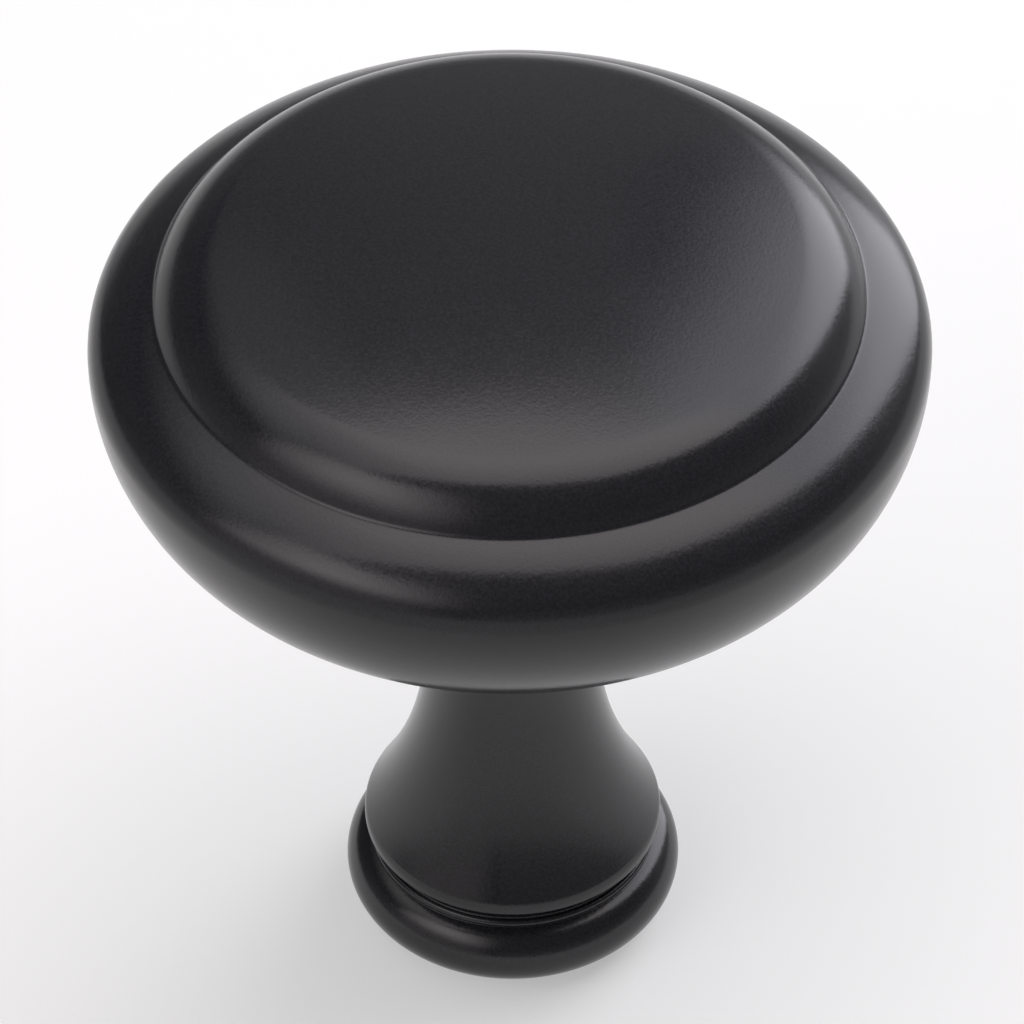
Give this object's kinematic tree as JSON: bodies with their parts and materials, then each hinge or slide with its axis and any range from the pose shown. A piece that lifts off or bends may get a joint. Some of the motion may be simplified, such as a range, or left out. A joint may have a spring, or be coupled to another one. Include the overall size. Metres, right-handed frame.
{
  "type": "cabinet knob",
  "caption": "Round cabinet knob with a domed disc stepped up from a rolled rim, on a slender neck that flares into a ringed collar.",
  "frame": {"origin": "centre of the face that lies on the door or drawer front, at the foot of the collar", "axes": "+Z along the axis of turning, out of the door towards the top of the head; the part is round, so X and Y have no meaning of their own, and the picture looks from -Y and above"},
  "size_m": [0.0318, 0.0318, 0.035],
  "materials": {
    "black_coat": "matte black powder coat with a fine grain, over die-cast zinc alloy"
  },
  "bodies": {
    "root": {"knob": "black_coat"}
  },
  "joints": []
}
